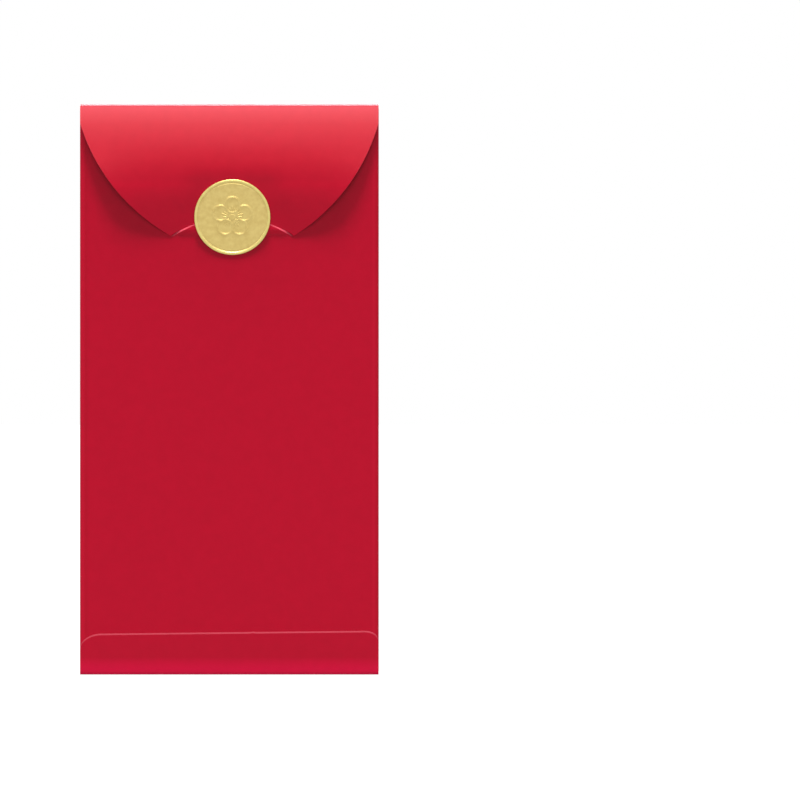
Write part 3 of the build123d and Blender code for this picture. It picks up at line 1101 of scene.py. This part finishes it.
def seal_sheet():
    """The embossed foil, smooth but for its flat base."""
    border = SEAL_RADIUS - BORDER_WIDTH
    field_rings = np.linspace(HUB_RADIUS, border, FIELD_RINGS)
    border_rings = np.linspace(border, SEAL_RADIUS, BORDER_RINGS)[1:]
    radius = np.concatenate([field_rings, border_rings])
    angle = np.linspace(0, 2 * math.pi, SPOKES, endpoint=False)
    points = seal_points(radius, angle)
    index = np.arange(len(radius) * SPOKES).reshape(-1, SPOKES)
    beside = np.roll(index, -1, axis=1)
    face = np.stack([index[:-1], index[1:], beside[1:], beside[:-1]], -1).reshape(-1, 4)
    base_index = np.arange(SPOKES) + len(radius) * SPOKES
    base_beside = np.roll(base_index, -1)
    side = np.stack([index[-1], base_index, base_beside, beside[-1]], -1)
    middle_top = len(points) - 2
    middle_base = len(points) - 1
    cap = [[middle_top, one, other] for one, other in zip(index[0], beside[0])]
    base = [[middle_base, other, one] for one, other in zip(base_index, base_beside)]
    faces = face.tolist() + side.tolist() + cap + base
    on_rim = np.repeat(radius[:-1] > SEAL_RADIUS - RIM_WIDTH - RIM_MARGIN, SPOKES)
    kinds = np.concatenate([on_rim, np.ones(len(side)), np.zeros(len(cap) + len(base))])
    smooth = np.arange(len(faces)) < len(faces) - len(base)
    mesh = bpy.data.meshes.new("seal_foil")
    mesh.from_pydata(points.tolist(), [], faces)
    for material in (GOLD, GOLD_RIM):
        mesh.materials.append(material)
    mesh.polygons.foreach_set("material_index", kinds.astype(np.int32))
    mesh.polygons.foreach_set("use_smooth", smooth)
    mesh.update()
    piece = bpy.data.objects.new("seal_foil", mesh)
    bpy.context.scene.collection.objects.link(piece)
    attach(piece, "flap")
    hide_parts("seal_disc")


seal_sheet()


# The seal's adhesive

PAD_RADIUS = 10.3
PAD_SHARE = 0.998
PAD_LOW = 134.9
PAD_LEAST_HEIGHT = 0.05
PAD_LEAST_DEPTH = 0.03
PAD_GAP = 0.01
PAD_COLUMNS = 61
PAD_ROWS = 30


def pad_sheet():
    """The adhesive between the flap's face and the back of the foil, as deep as the gap is."""
    x = FLAP_SHIFT + np.linspace(-PAD_RADIUS * PAD_SHARE, PAD_RADIUS * PAD_SHARE, PAD_COLUMNS)
    high = SEAL_Z + np.sqrt(PAD_RADIUS**2 - (x - FLAP_SHIFT) ** 2) * math.cos(FLAP_RETURN)
    z = fan(np.full_like(x, PAD_LOW), np.maximum(high, PAD_LOW + PAD_LEAST_HEIGHT), PAD_ROWS)
    x = np.broadcast_to(x, z.shape)
    foil = (SEAL_STANDOFF + FOIL_BACK) / math.cos(FLAP_RETURN)
    back = SEAL_DEPTH + (z - SEAL_Z) * math.tan(FLAP_RETURN) + foil
    face = np.minimum(flap_depth(x, z) + PAD_GAP, back - PAD_LEAST_DEPTH)
    outer = np.stack([x, BACK_Y - back + PAD_GAP, z], -1)
    inner = np.stack([x, BACK_Y - face, z], -1)
    piece = shell("seal_pad_film", outer, inner, [FILM, FILM, FILM])
    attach(piece, "flap")
    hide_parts("seal_pad")


pad_sheet()


# CAD pieces that stay

for node, material in (("side_glue_flap", INSIDE), ("side_glue", FILM), ("bottom_glue", FILM)):
    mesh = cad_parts[node].data
    mesh.materials.clear()
    mesh.materials.append(material)


# Floor, world and lights, the floor's sizes in metres

AMBIENT = 0.06
FLOOR_RADIUS = 40
FLOOR_POINTS = 96
FLOOR_DROP = 0.0001
FLOOR_GREY = 0.15
FLOOR_GLOW = 0.85


def light_path_mix(tree, dim, bright):
    """Mixes two shaders: bright for what the camera, gloss and glass see, dim for the light given off."""
    path = tree.nodes.new("ShaderNodeLightPath")
    first = tree.nodes.new("ShaderNodeMath")
    first.operation = "MAXIMUM"
    link(tree, path.outputs["Is Camera Ray"], first.inputs[0])
    link(tree, path.outputs["Is Glossy Ray"], first.inputs[1])
    second = tree.nodes.new("ShaderNodeMath")
    second.operation = "MAXIMUM"
    link(tree, first.outputs[0], second.inputs[0])
    link(tree, path.outputs["Is Transmission Ray"], second.inputs[1])
    mix = tree.nodes.new("ShaderNodeMixShader")
    link(tree, second.outputs[0], mix.inputs[0])
    link(tree, dim, mix.inputs[1])
    link(tree, bright, mix.inputs[2])
    return mix.outputs[0]


def make_world():
    """A white surround that gives little light itself."""
    world = bpy.data.worlds.new("studio")
    world.use_nodes = True
    tree = world.node_tree
    tree.nodes.clear()
    shades = []
    for strength in (AMBIENT, 1.0):
        node = tree.nodes.new("ShaderNodeBackground")
        node.inputs["Color"].default_value = (1, 1, 1, 1)
        node.inputs["Strength"].default_value = strength
        shades.append(node.outputs[0])
    out = tree.nodes.new("ShaderNodeOutputWorld")
    link(tree, light_path_mix(tree, *shades), out.inputs["Surface"])
    bpy.context.scene.world = world


def make_floor():
    """A round floor, just under the part, that looks white and keeps the part's shadow."""
    mesh = bpy.data.meshes.new("floor")
    angle = np.linspace(0, 2 * math.pi, FLOOR_POINTS, endpoint=False)
    points = [(FLOOR_RADIUS * math.cos(a), FLOOR_RADIUS * math.sin(a), -FLOOR_DROP) for a in angle]
    mesh.from_pydata(points, [], [list(range(FLOOR_POINTS))])
    floor = bpy.data.objects.new("floor", mesh)
    bpy.context.scene.collection.objects.link(floor)
    material = bpy.data.materials.new("floor_white")
    material.use_nodes = True
    tree = material.node_tree
    tree.nodes.clear()
    diffuse = tree.nodes.new("ShaderNodeBsdfDiffuse")
    diffuse.inputs["Color"].default_value = (FLOOR_GREY, FLOOR_GREY, FLOOR_GREY, 1)
    glow = tree.nodes.new("ShaderNodeEmission")
    glow.inputs["Strength"].default_value = FLOOR_GLOW
    lit = tree.nodes.new("ShaderNodeAddShader")
    link(tree, diffuse.outputs[0], lit.inputs[0])
    link(tree, glow.outputs[0], lit.inputs[1])
    out = tree.nodes.new("ShaderNodeOutputMaterial")
    link(tree, light_path_mix(tree, diffuse.outputs[0], lit.outputs[0]), out.inputs["Surface"])
    mesh.materials.append(material)


def sun(name, azimuth, elevation, strength, angle):
    """A soft light from far away. Azimuth 0 comes from the flap side, 90 from the right."""
    data = bpy.data.lights.new(name, "SUN")
    data.energy = strength
    data.angle = math.radians(angle)
    lamp = bpy.data.objects.new(name, data)
    bpy.context.scene.collection.objects.link(lamp)
    around = math.radians(azimuth)
    above = math.radians(elevation)
    level = math.cos(above)
    to_light = Vector((math.sin(around) * level, -math.cos(around) * level, math.sin(above)))
    lamp.rotation_mode = "QUATERNION"
    lamp.rotation_quaternion = to_light.to_track_quat("Z", "Y")


make_world()
make_floor()
sun("key", azimuth=0, elevation=74, strength=3.7, angle=14)
sun("left_key", azimuth=-44, elevation=70, strength=0.85, angle=25)
sun("right_key", azimuth=44, elevation=70, strength=0.85, angle=25)
sun("sheen", azimuth=0, elevation=25, strength=0.54, angle=26)
sun("left_fill", azimuth=-80, elevation=30, strength=0.36, angle=25)
sun("right_fill", azimuth=80, elevation=30, strength=0.36, angle=25)
sun("back_key", azimuth=190, elevation=52, strength=2.75, angle=25)
sun("back_sheen", azimuth=180, elevation=17, strength=0.52, angle=30)


# Camera: the envelope's place in the frame, in pixels, and the camera's distance in metres

PIXELS = 800
PHOTO_TOP = 104.15
PHOTO_BOTTOM = 674.6
PHOTO_LEFT = 81.0
PHOTO_RIGHT = 377.7
CAMERA_AWAY = 4.0
SENSOR = 36.0
scale = HEIGHT / (PHOTO_BOTTOM - PHOTO_TOP)
centre_x = (PIXELS / 2 - (PHOTO_LEFT + PHOTO_RIGHT) / 2) * scale
centre_z = HEIGHT / 2 - (PIXELS / 2 - (PHOTO_TOP + PHOTO_BOTTOM) / 2) * scale
camera_data = bpy.data.cameras.new("camera")
camera_data.sensor_width = SENSOR
camera_data.lens = SENSOR * (CAMERA_AWAY / MM + BACK_Y) / (PIXELS * scale)
camera_data.clip_start = 0.1
camera_data.clip_end = 100
camera = bpy.data.objects.new("camera", camera_data)
camera.location = (centre_x * MM, -CAMERA_AWAY, centre_z * MM)
camera.rotation_euler = (math.pi / 2, 0, 0)
bpy.context.scene.collection.objects.link(camera)
bpy.context.scene.camera = camera
bpy.context.scene.view_settings.view_transform = "Standard"
